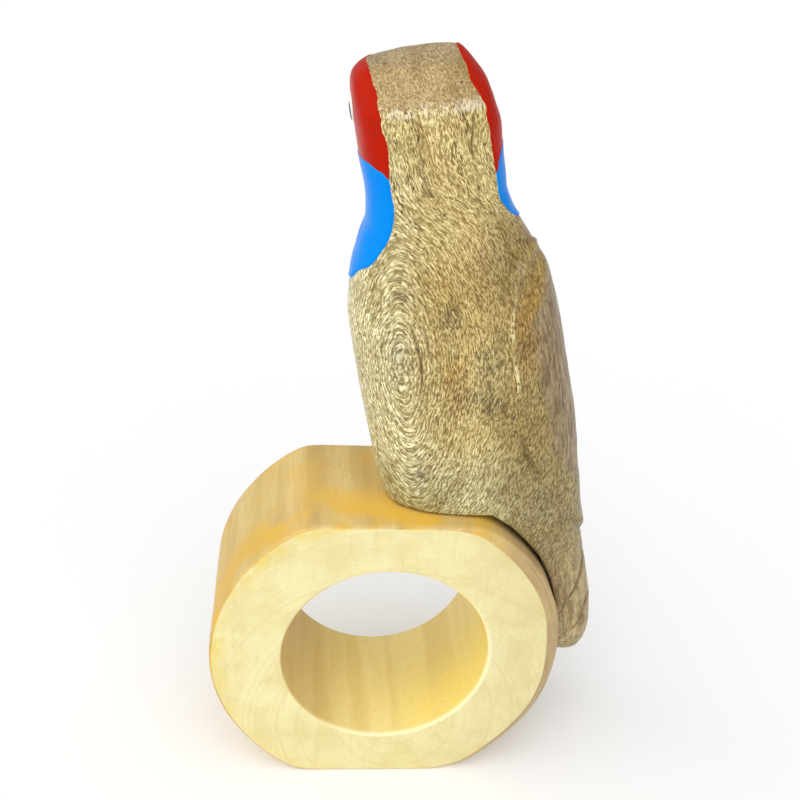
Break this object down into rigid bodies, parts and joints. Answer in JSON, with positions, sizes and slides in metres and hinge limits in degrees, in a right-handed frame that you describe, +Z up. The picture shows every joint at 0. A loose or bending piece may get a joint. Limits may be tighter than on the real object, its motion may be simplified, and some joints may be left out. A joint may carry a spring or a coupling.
{
  "type": "napkin ring with perched bird",
  "caption": "Wooden napkin ring with a flat foot and a carved, painted wooden bird perched on its flat top, tail hanging down one side.",
  "frame": {"origin": "middle of the ring's flat foot, on the surface it stands on", "axes": "+Z up along the bird; Y along the ring's bore, with the bird's face towards +Y; +X to the side where the tail hangs"},
  "size_m": [0.0734, 0.0348, 0.1352],
  "materials": {
    "ring_wood": "pale straight-grained hardwood, satin sealer",
    "bird_wood": "olive-brown figured hardwood, hand carved, satin varnish",
    "glue": "dried amber wood glue",
    "red_enamel": "brushed gloss enamel, red",
    "blue_enamel": "brushed gloss enamel, blue",
    "white_enamel": "dabbed gloss enamel, white",
    "black_enamel": "dabbed gloss enamel, black"
  },
  "bodies": {
    "root": {"ring": "ring_wood", "bird": "bird_wood", "glue_bed": "glue", "cheek_paint_left": "red_enamel", "cheek_paint_right": "red_enamel", "throat_paint": "blue_enamel", "beak_paint": "black_enamel", "eye_white_left": "white_enamel", "eye_white_right": "white_enamel", "pupil_left": "black_enamel", "pupil_right": "black_enamel"}
  },
  "joints": []
}
